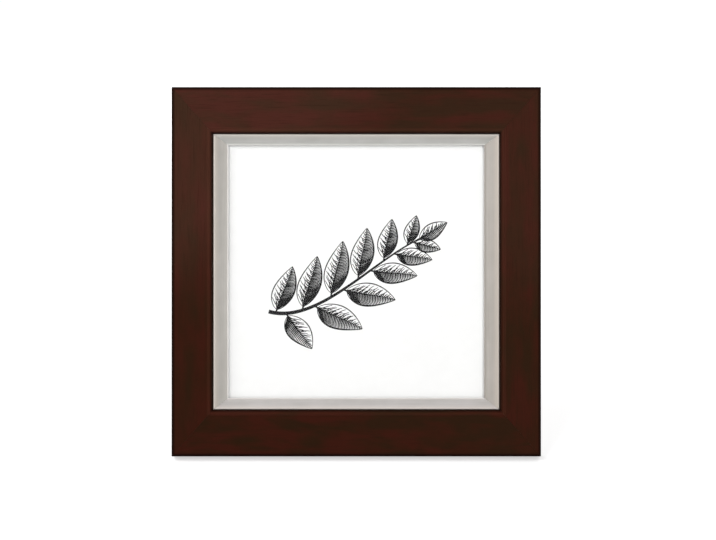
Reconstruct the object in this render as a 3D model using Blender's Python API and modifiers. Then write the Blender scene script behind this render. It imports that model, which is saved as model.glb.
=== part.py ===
"""Square plastic photo frame, standing on its easel strut.

Face space is X to the right, Y from the front face to the back, and Z up the face
from its bottom edge. An empty leans that space back on to the floor, which is Z = 0
of the world, and a second empty swings the strut open about its hinge pin.
"""

import math

import bmesh
import bpy
from mathutils import Matrix, Vector

# Outside of the frame
OUTER_WIDTH = 0.277
OUTER_HEIGHT = 0.277
RAIL_DEPTH = 0.018
LEAN = math.radians(15)

# Brown outer moulding: the side rails are narrower than the top and bottom rails
SIDE_FACE = 0.0310
END_FACE = 0.0351
OUTER_ROUND = 0.0015
BACK_CHAMFER = 0.0006
BEAD_WIDTH = 0.0044
BEAD_RISE = 0.0004
BEAD_DROP = 0.0026
LIP_THICKNESS = 0.0040
SIDE_REBATE = 0.0060

# Silver slip: the bevelled inner moulding that sits in the rebate of the brown one
SIDE_SLIP = 0.0113
END_SLIP = 0.0084
SLIP_LIP_DEPTH = 0.0014
SLIP_LIP_WIDTH = 0.0024
SLIP_LIP_ROUND = 0.0007
SLIP_SIGHT_DEPTH = 0.0070
SLIP_COVE = 0.0004
SLIP_NOSE_ROUND = 0.0006
SLIP_SIGHT_EDGE = 0.0008
SLIP_BACK_RECESS = 0.0005

# Sheets that lie in the slip, in the order that they go in. The slip laps over their
# edges, so their width and height follow from the outside of the frame
SIDE_LAP = 0.0038
END_LAP = 0.0050
SHEET_WIDTH = OUTER_WIDTH - 2 * (SIDE_FACE + SIDE_SLIP - SIDE_LAP)
SHEET_HEIGHT = OUTER_HEIGHT - 2 * (END_FACE + END_SLIP - END_LAP)
GLAZING_THICKNESS = 0.0016
PRINT_THICKNESS = 0.0003
FILLER_THICKNESS = 0.0038
BOARD_THICKNESS = 0.0030
BOARD_TRIM = 0.0005
BOARD_CORNER = 0.0020

# Clearances
FIT = 0.0003
MITRE_GAP = 0.00006
PIN_CLEARANCE = 0.0003
STOP_CLEARANCE = 0.0003

# Corner nails, two to a mitre, driven in from the back
NAIL_ARM = 0.0060
NAIL_THICKNESS = 0.0005
NAIL_LENGTH = 0.0100
NAIL_PLACES = (0.0090, 0.0190)

# Turn buttons and their screws
BUTTON_THICKNESS = 0.0010
BUTTON_REACH = 0.0250
BUTTON_PIVOT_RADIUS = 0.0055
BUTTON_TIP_RADIUS = 0.0036
BUTTON_EDGE = 0.0060
BUTTON_INSET = SIDE_FACE - SIDE_REBATE - BUTTON_EDGE
BUTTON_SPACING = 0.1200
SCREW_SHANK_RADIUS = 0.0015
SCREW_LENGTH = 0.0100
SCREW_HEAD_RADIUS = 0.0034
SCREW_HEAD_HEIGHT = 0.0018

# Rivets
RIVET_SHANK_RADIUS = 0.0012
RIVET_HEAD_RADIUS = 0.0024
RIVET_HEAD_HEIGHT = 0.0009
RIVET_TAIL_RADIUS = 0.0020
RIVET_TAIL_HEIGHT = 0.0007
RIVET_TAIL_RECESS = 0.0002

# Strut and its hinge
HINGE_BELOW_TOP = 0.0870
HINGE_HEIGHT = OUTER_HEIGHT - HINGE_BELOW_TOP
STRUT_OPENING = math.radians(28)
STRUT_THICKNESS = 0.0030
STRUT_TOP_WIDTH = 0.0380
STRUT_FOOT_WIDTH = 0.0640
STRUT_TOP_CORNER = 0.0060
STRUT_FOOT_CORNER = 0.0045
LEAF_THICKNESS = 0.0008
LEAF_WIDTH = 0.0320
LEAF_LENGTH = 0.0220
LEAF_CORNER = 0.0040
LEAF_RIVET_EDGE = 0.0070
LEAF_RIVET_SPACING = LEAF_WIDTH - 2 * LEAF_RIVET_EDGE
LEAF_RIVET_HEIGHT = 0.0145
PIN_RADIUS = 0.0009
PIN_HEAD_RADIUS = 0.0016
PIN_HEAD_LENGTH = 0.0006
KNUCKLE_FIXED = 0.0055
KNUCKLE_MOVING = 0.0055
KNUCKLE_GAP = 0.0005
CURL_STEPS = 14
CURL_ANGLE = math.radians(310)

# Hanging ring and its strap, in the space between the hinge and the board's top edge
BOARD_TOP = (OUTER_HEIGHT + SHEET_HEIGHT) / 2 - BOARD_TRIM
HANGER_RISE = 0.0040
HANGER_HEIGHT = (HINGE_HEIGHT + LEAF_LENGTH + BOARD_TOP) / 2 + HANGER_RISE
STRAP_WIDTH = 0.0080
STRAP_THICKNESS = 0.0008
STRAP_LENGTH = 0.0100
STRAP_RIVET = 0.0058
STRAP_PINCH = 0.0030
RING_WIRE_RADIUS = 0.00075
RING_RADIUS = 0.0095
RING_LEG = 0.0050
RING_CORNER = 0.0022

# Depths of the pieces behind the front face
GLAZING_SEAT = SLIP_SIGHT_DEPTH + SLIP_SIGHT_EDGE
GLAZING_FRONT = GLAZING_SEAT + FIT
PRINT_FRONT = GLAZING_FRONT + GLAZING_THICKNESS + FIT
FILLER_FRONT = PRINT_FRONT + PRINT_THICKNESS + FIT
BOARD_FRONT = FILLER_FRONT + FILLER_THICKNESS + FIT
BOARD_BACK = BOARD_FRONT + BOARD_THICKNESS
SHEET_REBATE_X = (OUTER_WIDTH - SHEET_WIDTH) / 2 - FIT
SHEET_REBATE_Z = (OUTER_HEIGHT - SHEET_HEIGHT) / 2 - FIT

# The strut folds flat behind the rails, and its hinge is set out from there
STRUT_FRONT = max(BOARD_BACK, RAIL_DEPTH) + FIT
PIN_BORE = PIN_RADIUS + PIN_CLEARANCE
CURL_RADIUS = PIN_BORE + LEAF_THICKNESS / 2
KNUCKLE_RADIUS = PIN_BORE + LEAF_THICKNESS
HINGE_DEPTH = STRUT_FRONT + STRUT_THICKNESS + FIT - PIN_BORE
FIXED_LEAF_FRONT = BOARD_BACK + FIT - HINGE_DEPTH
FIXED_LEAF_BACK = FIXED_LEAF_FRONT + LEAF_THICKNESS
LEAF_NOTCH = KNUCKLE_RADIUS + 4 * FIT

# The stop tab meets the fixed leaf when the strut is open
TAB_REACH = (
    PIN_BORE * math.cos(STRUT_OPENING) - FIXED_LEAF_BACK - STOP_CLEARANCE
) / math.sin(STRUT_OPENING)

# Standing pose
STRUT_TILT = STRUT_OPENING - LEAN
FLOOR_DROP = (RAIL_DEPTH - BACK_CHAMFER) * math.sin(LEAN)
HINGE_ABOVE_FLOOR = (
    HINGE_HEIGHT * math.cos(LEAN) - HINGE_DEPTH * math.sin(LEAN) + FLOOR_DROP
)
STRUT_BACK = PIN_BORE - FIT
STRUT_END = (
    HINGE_ABOVE_FLOOR + STRUT_BACK * math.sin(STRUT_TILT)
) / math.cos(STRUT_TILT)
FRONT_REACH = OUTER_ROUND * (math.cos(LEAN) + math.sin(LEAN) - 1)
BACK_REACH = (
    HINGE_DEPTH * math.cos(LEAN)
    + HINGE_HEIGHT * math.sin(LEAN)
    + STRUT_BACK * math.cos(STRUT_TILT)
    + STRUT_END * math.sin(STRUT_TILT)
)

# Ways to turn an outline, drawn in X and Y and extruded along Z, into face space
PLATE_AXES = Matrix(((1, 0, 0), (0, 0, -1), (0, 1, 0))).to_4x4()
MOULDING_AXES = Matrix(((0, 0, -1), (0, 1, 0), (1, 0, 0))).to_4x4()
FACING_BACK = (-math.pi / 2, 0, 0)
FACING_BACK_HALF_FACET = (-math.pi / 2, math.pi / 20, 0)
FACING_RIGHT = (0, math.pi / 2, 0)


# Scene and materials


def clear_scene():
    for item in list(bpy.data.objects):
        bpy.data.objects.remove(item, do_unlink=True)


def new_collection(name):
    collection = bpy.data.collections.new(name)
    bpy.context.scene.collection.children.link(collection)
    return collection


def linear(channel):
    share = channel / 255
    if share <= 0.04045:
        return share / 12.92
    return ((share + 0.055) / 1.055) ** 2.4


def material(name, colour, roughness, metallic=0.0, transmission=0.0):
    """A Principled material from a screen colour in 0 to 255."""
    made = bpy.data.materials.new(name)
    made.use_nodes = True
    shader = made.node_tree.nodes["Principled BSDF"]
    shader.inputs["Base Color"].default_value = (*map(linear, colour), 1)
    shader.inputs["Roughness"].default_value = roughness
    shader.inputs["Metallic"].default_value = metallic
    shader.inputs["Transmission Weight"].default_value = transmission
    return made


def add_object(name, data, collection, parent=None, location=(0, 0, 0), rotation=(0, 0, 0)):
    item = bpy.data.objects.new(name, data)
    item.parent = parent
    item.location = location
    item.rotation_euler = rotation
    collection.objects.link(item)
    return item


def add_part(name, data, finish, parent, location=(0, 0, 0), rotation=(0, 0, 0)):
    item = add_object(name, data, PARTS, parent, location, rotation)
    item.data.materials.clear()
    item.data.materials.append(finish)
    return item


def add_cutter(name, data, parent, location=(0, 0, 0), rotation=(0, 0, 0)):
    item = add_object(name, data, CUTTERS, parent, location, rotation)
    item.display_type = "WIRE"
    item.hide_render = True
    return item


def cut(target, cutter):
    boolean = target.modifiers.new(cutter.name, "BOOLEAN")
    boolean.operation = "DIFFERENCE"
    boolean.object = cutter


def soften(target, width, segments=2):
    bevel = target.modifiers.new("edges", "BEVEL")
    bevel.width = width
    bevel.segments = segments
    bevel.limit_method = "ANGLE"
    bevel.angle_limit = math.radians(40)


# Shapes


def arc(centre, radius, start, end, steps):
    """Points on an arc in degrees, both ends included."""
    turn = [math.radians(start + (end - start) * i / steps) for i in range(steps + 1)]
    return [(centre[0] + radius * math.cos(a), centre[1] + radius * math.sin(a)) for a in turn]


def extruded(name, outline, thickness, axes):
    """The mesh of a closed outline, filled and extruded, from 0 to its thickness."""
    curve = bpy.data.curves.new(name, "CURVE")
    curve.dimensions = "2D"
    curve.fill_mode = "BOTH"
    curve.extrude = thickness / 2
    spline = curve.splines.new("POLY")
    spline.points.add(len(outline) - 1)
    for point, (x, y) in zip(spline.points, outline):
        point.co = (x, y, 0, 1)
    spline.use_cyclic_u = True
    drawn = bpy.data.objects.new(name, curve)
    bpy.context.scene.collection.objects.link(drawn)
    bpy.context.view_layer.update()
    mesh = bpy.data.meshes.new_from_object(drawn.evaluated_get(bpy.context.evaluated_depsgraph_get()))
    bpy.data.objects.remove(drawn)
    shape = bmesh.new()
    shape.from_mesh(mesh)
    bmesh.ops.remove_doubles(shape, verts=shape.verts, dist=1e-7)
    bmesh.ops.dissolve_limit(shape, angle_limit=1e-4, verts=shape.verts, edges=shape.edges)
    bmesh.ops.transform(shape, matrix=axes, verts=shape.verts)
    bmesh.ops.recalc_face_normals(shape, faces=shape.faces)
    shape.to_mesh(mesh)
    shape.free()
    mesh.shade_flat()
    mesh.name = name
    return mesh


def plate(name, outline, thickness):
    """A flat piece, its outline in X and Z, from Y = 0 back to its thickness."""
    mesh = extruded(name, outline, thickness, PLATE_AXES)
    mesh.transform(Matrix.Translation((0, thickness / 2, 0)))
    return mesh


def rectangle(width, height, corner=0.0):
    """A rectangle round the origin, with rounded corners if they are given."""
    x, y = width / 2 - corner, height / 2 - corner
    if not corner:
        return [(-x, -y), (x, -y), (x, y), (-x, y)]
    corners = (((x, y), 0), ((-x, y), 90), ((-x, -y), 180), ((x, -y), 270))
    return [point for at, turn in corners for point in arc(at, corner, turn, turn + 90, 4)]


def trim(mesh, point, normal):
    """Cuts away what lies on the normal's side of a plane, and closes the cut."""
    shape = bmesh.new()
    shape.from_mesh(mesh)
    everything = shape.verts[:] + shape.edges[:] + shape.faces[:]
    bmesh.ops.bisect_plane(shape, geom=everything, plane_co=point, plane_no=normal, clear_outer=True)
    open_edges = [edge for edge in shape.edges if edge.is_boundary]
    bmesh.ops.holes_fill(shape, edges=open_edges)
    bmesh.ops.recalc_face_normals(shape, faces=shape.faces)
    shape.to_mesh(mesh)
    shape.free()


def turned(name, profile, steps=20):
    """A turned piece: its profile in radius and height, from the top down, about Z."""
    mesh = bpy.data.meshes.new(name)
    shape = bmesh.new()
    points = [shape.verts.new((radius, 0, height)) for radius, height in profile]
    for upper, lower in zip(points, points[1:]):
        shape.edges.new((upper, lower))
    shape.to_mesh(mesh)
    shape.free()
    lathe = bpy.data.objects.new(name, mesh)
    screw = lathe.modifiers.new("turn", "SCREW")
    screw.steps = steps
    screw.render_steps = steps
    screw.use_merge_vertices = True
    screw.merge_threshold = 1e-6
    bpy.context.scene.collection.objects.link(lathe)
    bpy.context.view_layer.update()
    solid = bpy.data.meshes.new_from_object(lathe.evaluated_get(bpy.context.evaluated_depsgraph_get()))
    bpy.data.objects.remove(lathe)
    solid.shade_smooth()
    solid.set_sharp_from_angle(angle=math.radians(35))
    return solid


def cylinder(name, radius, bottom, top, steps=20):
    return turned(name, [(0, top), (radius, top), (radius, bottom), (0, bottom)], steps)


def bent_strip(name, columns, thickness, rounded=(), corner=0.0):
    """Sheet metal: each column is (left, right, its path of (Y, Z) points)."""
    mesh = bpy.data.meshes.new(name)
    sheet = bmesh.new()
    for left, right, path in columns:
        edge = sheet.edges.new([sheet.verts.new((x, *path[0])) for x in (left, right)])
        for start, end in zip(path, path[1:]):
            grown = bmesh.ops.extrude_edge_only(sheet, edges=[edge])["geom"]
            step = Vector((0, end[0] - start[0], end[1] - start[1]))
            moved = [part for part in grown if isinstance(part, bmesh.types.BMVert)]
            bmesh.ops.translate(sheet, vec=step, verts=moved)
            edge = next(part for part in grown if isinstance(part, bmesh.types.BMEdge)
                        and all(vert in moved for vert in part.verts))
    bmesh.ops.remove_doubles(sheet, verts=sheet.verts, dist=1e-6)
    bmesh.ops.recalc_face_normals(sheet, faces=sheet.faces)
    ends = [vert for vert in sheet.verts for place in rounded if (vert.co - Vector(place)).length < 1e-6]
    if ends:
        bmesh.ops.bevel(sheet, geom=ends, offset=corner, segments=4, profile=0.5, affect="VERTICES")
    sheet.to_mesh(mesh)
    sheet.free()
    item = bpy.data.objects.new(name, mesh)
    thicken = item.modifiers.new("sheet", "SOLIDIFY")
    thicken.thickness = thickness
    thicken.offset = 0
    thicken.use_even_offset = True
    bpy.context.scene.collection.objects.link(item)
    bpy.context.view_layer.update()
    solid = bpy.data.meshes.new_from_object(item.evaluated_get(bpy.context.evaluated_depsgraph_get()))
    bpy.data.objects.remove(item)
    return solid


# Mouldings


def brown_section(face, rebate):
    """Section of the brown moulding as (across, depth), from its back outer edge."""
    stretch = face / SIDE_FACE
    bead = BEAD_WIDTH * stretch
    crown = bead * 0.4
    rise = [
        (face - bead + crown * share, -BEAD_RISE * (1 - math.cos(math.pi * share)) / 2)
        for share in (0, 0.25, 0.5, 0.75, 1)
    ]
    fall = [
        (
            face - (bead - crown) * (1 - math.sin(turn)),
            BEAD_DROP - (BEAD_DROP + BEAD_RISE) * math.cos(turn),
        )
        for turn in [math.radians(15 * i) for i in range(1, 7)]
    ]
    return [
        (BACK_CHAMFER, RAIL_DEPTH),
        (0, RAIL_DEPTH - BACK_CHAMFER),
        *arc((OUTER_ROUND, OUTER_ROUND), OUTER_ROUND, 180, 270, 5),
        *rise,
        *fall,
        (face, LIP_THICKNESS),
        (face - rebate, LIP_THICKNESS),
        (face - rebate, RAIL_DEPTH),
    ]


def slip_section(face, rebate, width, sheet_rebate):
    """Section of the silver slip as (across, depth) from the frame's outer edge."""
    stretch = width / SIDE_SLIP
    lip_end = face + SLIP_LIP_WIDTH * stretch
    nose = face + width - 2 * SLIP_NOSE_ROUND
    start_depth = SLIP_LIP_DEPTH + SLIP_LIP_ROUND
    cove = [
        (
            lip_end + (nose - lip_end) * share,
            start_depth
            + (SLIP_SIGHT_DEPTH - start_depth) * share
            + SLIP_COVE * math.sin(math.pi * share),
        )
        for share in (0, 0.17, 0.33, 0.5, 0.67, 0.83, 1)
    ]
    round_centre = (face + FIT + SLIP_LIP_ROUND, SLIP_LIP_DEPTH + SLIP_LIP_ROUND)
    nose_centre = (face + width - SLIP_NOSE_ROUND, SLIP_SIGHT_DEPTH + SLIP_NOSE_ROUND / 2)
    return [
        (face - rebate + FIT, RAIL_DEPTH - SLIP_BACK_RECESS),
        (face - rebate + FIT, LIP_THICKNESS + FIT),
        (face + FIT, LIP_THICKNESS + FIT),
        *arc(round_centre, SLIP_LIP_ROUND, 180, 270, 4),
        (lip_end - SLIP_LIP_ROUND * stretch, SLIP_LIP_DEPTH + SLIP_LIP_ROUND / 4),
        *cove,
        *arc(nose_centre, SLIP_NOSE_ROUND, 240, 360, 5),
        (face + width, GLAZING_SEAT),
        (sheet_rebate, GLAZING_SEAT),
        (sheet_rebate, RAIL_DEPTH - SLIP_BACK_RECESS),
    ]


def mitred(name, section, length, start, run):
    """A length of moulding along X. The mitre line passes through start, (along,
    across) from the outer corner, and runs as run says."""
    mesh = extruded(name, section, length, MOULDING_AXES)
    outward = Vector((-run[1], 0, run[0])).normalized()
    on_line = Vector((start[0] - length / 2, 0, start[1])) - outward * MITRE_GAP / 2
    trim(mesh, on_line, outward)
    flip = Vector((-1, 1, 1))
    trim(mesh, on_line * flip, outward * flip)
    return mesh


def rail_places():
    """Each side's length, and where its rail space lies in face space."""
    half = OUTER_HEIGHT / 2
    return {
        "bottom": (OUTER_WIDTH, (0, 0, 0), 0),
        "top": (OUTER_WIDTH, (0, 0, OUTER_HEIGHT), math.pi),
        "left": (OUTER_HEIGHT, (-OUTER_WIDTH / 2, 0, half), math.pi / 2),
        "right": (OUTER_HEIGHT, (OUTER_WIDTH / 2, 0, half), -math.pi / 2),
    }


def make_rails(face_empty, brown, silver):
    """The four brown rails and the four slips, and the rails by their side's name."""
    end_rebate = SIDE_REBATE * END_SLIP / SIDE_SLIP
    rails = {}
    for side, (length, place, turn) in rail_places().items():
        upright = side in ("left", "right")
        face, other_face = (SIDE_FACE, END_FACE) if upright else (END_FACE, SIDE_FACE)
        slip, other_slip = (SIDE_SLIP, END_SLIP) if upright else (END_SLIP, SIDE_SLIP)
        rebate = SIDE_REBATE if upright else end_rebate
        sheet_rebate = SHEET_REBATE_X if upright else SHEET_REBATE_Z
        rail = mitred(f"{side}_rail", brown_section(face, rebate), length, (0, 0), (other_face, face))
        rails[side] = add_part(f"{side}_rail", rail, brown, face_empty, place, (0, turn, 0))
        section = slip_section(face, rebate, slip, sheet_rebate)
        inner = mitred(f"{side}_slip", section, length, (other_face, face), (other_slip, slip))
        add_part(f"{side}_slip", inner, silver, face_empty, place, (0, turn, 0))
    return rails


def nail_outline(allowance):
    """A V with its blunt point at the origin, opening along Y, thickened by an
    allowance."""
    half = NAIL_THICKNESS / 2 + allowance
    reach = (NAIL_ARM + allowance) * math.sqrt(0.5)
    back = half * math.sqrt(2)
    side = half * math.sqrt(0.5)
    blunt = NAIL_THICKNESS / 2
    right = [
        (blunt, blunt - back),
        (reach + side, reach - side),
        (reach - side, reach + side),
        (blunt, blunt + back),
    ]
    return right + [(-x, y) for x, y in reversed(right)]


def make_corner_nails(face_empty, rails, steel):
    """Two nails across each mitre, each in a slot that both of its rails share."""
    depth = RAIL_DEPTH - FIT - NAIL_LENGTH
    along = Vector((SIDE_FACE, 0, END_FACE)).normalized()
    for vertical, level, up in (("bottom", 0, 1), ("top", OUTER_HEIGHT, -1)):
        for side, edge, inward in (("left", -OUTER_WIDTH / 2, 1), ("right", OUTER_WIDTH / 2, -1)):
            heading = math.atan2(along.x * inward, along.z * up)
            for number, distance in enumerate(NAIL_PLACES, 1):
                name = f"{vertical}_{side}_nail_{number}"
                place = (edge + along.x * distance * inward, depth, level + along.z * distance * up)
                nail = plate(name, nail_outline(0), NAIL_LENGTH)
                add_part(name, nail, steel, face_empty, place, (0, heading, 0))
                slot = plate(f"{name}_slot", nail_outline(FIT), NAIL_LENGTH + 4 * FIT)
                place = (place[0], depth - FIT, place[2])
                cutter = add_cutter(f"{name}_slot", slot, face_empty, place, (0, heading, 0))
                cut(rails[vertical], cutter)
                cut(rails[side], cutter)


# Sheets


def make_sheets(face_empty, glass, paper, grey_card, fibreboard):
    """Glazing, print, filler card and backing board, front to back."""
    centre = OUTER_HEIGHT / 2
    full = rectangle(SHEET_WIDTH, SHEET_HEIGHT)
    trimmed = (SHEET_WIDTH - 2 * BOARD_TRIM, SHEET_HEIGHT - 2 * BOARD_TRIM)
    glazing = plate("glazing", full, GLAZING_THICKNESS)
    add_part("glazing", glazing, glass, face_empty, (0, GLAZING_FRONT, centre))
    sheet = plate("print", full, PRINT_THICKNESS)
    add_part("print", sheet, paper, face_empty, (0, PRINT_FRONT, centre))
    filler = plate("filler_card", full, FILLER_THICKNESS)
    add_part("filler_card", filler, grey_card, face_empty, (0, FILLER_FRONT, centre))
    board = plate("backing_board", rectangle(*trimmed, BOARD_CORNER), BOARD_THICKNESS)
    return add_part("backing_board", board, fibreboard, face_empty, (0, BOARD_FRONT, centre))


# Fasteners


def dome(radius, height, base, steps=4):
    """Profile of a domed head down to its rim, standing on base."""
    turns = [math.radians(90 - 90 * i / steps) for i in range(steps + 1)]
    rim = height * 0.25
    return [
        (radius * math.cos(turn), base + rim + (height - rim) * math.sin(turn)) for turn in turns
    ] + [(radius, base)]


def rivet(name, stack):
    """A rivet through a stack of sheets: its head stands on height 0, its tail is
    sunk in the far face."""
    tail_back = -stack + RIVET_TAIL_RECESS + RIVET_TAIL_HEIGHT
    profile = [
        *dome(RIVET_HEAD_RADIUS, RIVET_HEAD_HEIGHT, 0),
        (RIVET_SHANK_RADIUS, 0),
        (RIVET_SHANK_RADIUS, tail_back),
        (RIVET_TAIL_RADIUS, tail_back),
        (RIVET_TAIL_RADIUS, tail_back - RIVET_TAIL_HEIGHT),
        (0, tail_back - RIVET_TAIL_HEIGHT),
    ]
    return turned(name, profile, 16)


def rivet_hole(name, stack):
    """Cutter of a rivet's hole, with the wider pocket that its tail sits in."""
    shank = RIVET_SHANK_RADIUS + FIT
    pocket = RIVET_TAIL_RADIUS + FIT
    floor = -stack + RIVET_TAIL_RECESS + RIVET_TAIL_HEIGHT + FIT
    below = -stack - RIVET_TAIL_HEIGHT
    top = RIVET_HEAD_HEIGHT
    profile = [(0, top), (shank, top), (shank, floor), (pocket, floor), (pocket, below), (0, below)]
    return turned(name, profile, 16)


def add_rivet(name, parent, place, stack, finish, sheets):
    """A rivet whose head faces back, and its hole through the named sheets."""
    add_part(name, rivet(name, stack), finish, parent, place, FACING_BACK)
    hole = add_cutter(f"{name}_hole", rivet_hole(f"{name}_hole", stack), parent, place, FACING_BACK)
    for sheet in sheets:
        cut(sheet, hole)


def screw_profile():
    point = SCREW_SHANK_RADIUS * 1.6
    return [
        *dome(SCREW_HEAD_RADIUS, SCREW_HEAD_HEIGHT, 0),
        (SCREW_SHANK_RADIUS, 0),
        (SCREW_SHANK_RADIUS, -SCREW_LENGTH + point),
        (0, -SCREW_LENGTH),
    ]


# Turn buttons


def button_outline():
    """A teardrop round its screw at the origin, with its tip along X."""
    lean = math.degrees(math.acos((BUTTON_PIVOT_RADIUS - BUTTON_TIP_RADIUS) / BUTTON_REACH))
    return [
        *arc((0, 0), BUTTON_PIVOT_RADIUS, lean, 360 - lean, 14),
        *arc((BUTTON_REACH, 0), BUTTON_TIP_RADIUS, -lean, lean, 10),
    ]


def make_turn_buttons(face_empty, rails, zinc, steel):
    """Four turn buttons on the side rails, pointing in over the backing board."""
    for side, sign in (("left", 1), ("right", -1)):
        x = -sign * (OUTER_WIDTH / 2 - BUTTON_INSET)
        turn = 0 if side == "left" else math.pi
        for level, offset in (("upper", 0.5), ("lower", -0.5)):
            z = OUTER_HEIGHT / 2 + offset * BUTTON_SPACING
            name = f"{level}_{side}_turn_button"
            button = plate(name, button_outline(), BUTTON_THICKNESS)
            place = (x, RAIL_DEPTH + FIT, z)
            item = add_part(name, button, zinc, face_empty, place, (0, turn, 0))
            soften(item, BUTTON_THICKNESS / 5, 1)
            bore = cylinder(f"{name}_bore", SCREW_SHANK_RADIUS + FIT, -SCREW_LENGTH, SCREW_LENGTH)
            cut(item, add_cutter(f"{name}_bore", bore, face_empty, place, FACING_BACK_HALF_FACET))
            head = (x, RAIL_DEPTH + BUTTON_THICKNESS + 2 * FIT, z)
            screw = turned(f"{level}_{side}_screw", screw_profile(), 16)
            add_part(f"{level}_{side}_screw", screw, steel, face_empty, head, FACING_BACK)
            hole = cylinder(f"{name}_hole", SCREW_SHANK_RADIUS + FIT, -SCREW_LENGTH - FIT, 0, 16)
            cut(rails[side], add_cutter(f"{name}_hole", hole, face_empty, head, FACING_BACK))


# Strut hinge


def curl(tangent, way):
    """Path of a knuckle curl about the pin at (0, 0): from the tangent point at
    Y = tangent, turning over the top if way is 1 and under it if way is -1."""
    side = 1 if tangent > 0 else -1
    return [
        (
            side * CURL_RADIUS * math.cos(CURL_ANGLE * i / CURL_STEPS),
            way * CURL_RADIUS * math.sin(CURL_ANGLE * i / CURL_STEPS),
        )
        for i in range(CURL_STEPS + 1)
    ]


def knuckle_columns():
    """Edges of the knuckles in X: the fixed ones outside, the moving ones inside
    them, and the stop tab in the middle."""
    outer = LEAF_WIDTH / 2
    fixed = outer - KNUCKLE_FIXED
    moving = fixed - KNUCKLE_GAP
    tab = moving - KNUCKLE_MOVING
    return outer, fixed, moving, tab


def leaf_columns(spans, plain, special):
    """Columns across a leaf: spans of X that carry a special path, plain between."""
    edges = sorted({edge for span in spans for edge in span[:2]} | {-LEAF_WIDTH / 2, LEAF_WIDTH / 2})
    columns = []
    for left, right in zip(edges, edges[1:]):
        middle = (left + right) / 2
        kind = next((span[2] for span in spans if span[0] < middle < span[1]), None)
        columns.append((left, right, special[kind] if kind else plain))
    return columns


def fixed_leaf_mesh():
    """The leaf on the board, about the pin: flat, then stepped back to its curls."""
    outer, fixed, _, _ = knuckle_columns()
    level = FIXED_LEAF_FRONT + LEAF_THICKNESS / 2
    flat = [(level, LEAF_LENGTH), (level, LEAF_NOTCH)]
    knuckle = [*flat, (-CURL_RADIUS, KNUCKLE_RADIUS / 2), *curl(-CURL_RADIUS, -1)]
    spans = [(-outer, -fixed, "knuckle"), (fixed, outer, "knuckle")]
    columns = leaf_columns(spans, flat, {"knuckle": knuckle})
    corners = [(x, level, LEAF_LENGTH) for x in (-outer, outer)]
    return bent_strip("hinge_fixed_leaf", columns, LEAF_THICKNESS, corners, LEAF_CORNER)


def moving_leaf_mesh():
    """The leaf on the strut, about the pin, folded: curls outside, stop tab inside."""
    outer, _, moving, tab = knuckle_columns()
    level = CURL_RADIUS
    slit = tab - KNUCKLE_GAP
    flat = [(level, -LEAF_LENGTH), (level, -LEAF_NOTCH)]
    knuckle = [*flat, *curl(CURL_RADIUS, 1)]
    stop = [*flat, (level, TAB_REACH)]
    spans = [
        (-moving, -tab, "knuckle"),
        (-slit, slit, "stop"),
        (tab, moving, "knuckle"),
    ]
    columns = leaf_columns(spans, flat, {"knuckle": knuckle, "stop": stop})
    corners = [(x, level, -LEAF_LENGTH) for x in (-outer, outer)]
    return bent_strip("hinge_moving_leaf", columns, LEAF_THICKNESS, corners, LEAF_CORNER)


def pin_profile():
    reach = LEAF_WIDTH / 2 + FIT
    end = reach + PIN_HEAD_LENGTH
    return [
        (0, end),
        (PIN_HEAD_RADIUS * 0.8, end),
        (PIN_HEAD_RADIUS, reach + PIN_HEAD_LENGTH / 2),
        (PIN_HEAD_RADIUS, reach),
        (PIN_RADIUS, reach),
        (PIN_RADIUS, -reach),
        (PIN_HEAD_RADIUS, -reach),
        (PIN_HEAD_RADIUS, -reach - PIN_HEAD_LENGTH / 2),
        (PIN_HEAD_RADIUS * 0.8, -end),
        (0, -end),
    ]


def strut_outline():
    """The tapered strut below the pin, in X and Z, with rounded corners. It reaches
    a little past the floor, for its foot to be cut to."""
    top = -KNUCKLE_RADIUS - FIT
    foot = -STRUT_END - FIT
    upper, lower = STRUT_TOP_WIDTH / 2, STRUT_FOOT_WIDTH / 2
    taper = math.degrees(math.atan2(lower - upper, top - foot))
    shoulder = (upper - STRUT_TOP_CORNER, top - STRUT_TOP_CORNER)
    toe = (lower - STRUT_FOOT_CORNER, foot + STRUT_FOOT_CORNER)
    right = [
        *arc(toe, STRUT_FOOT_CORNER, -90, taper, 5),
        *arc(shoulder, STRUT_TOP_CORNER, taper, 90, 5),
    ]
    return right + [(-x, z) for x, z in reversed(right)]


def strut_mesh():
    """The strut, folded, with its foot cut to stand flat on the floor when open."""
    mesh = plate("strut", strut_outline(), STRUT_THICKNESS)
    mesh.transform(Matrix.Translation((0, STRUT_BACK - STRUT_THICKNESS, 0)))
    down = Vector((0, -math.sin(STRUT_TILT), -math.cos(STRUT_TILT)))
    trim(mesh, down * HINGE_ABOVE_FLOOR, down)
    return mesh


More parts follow.
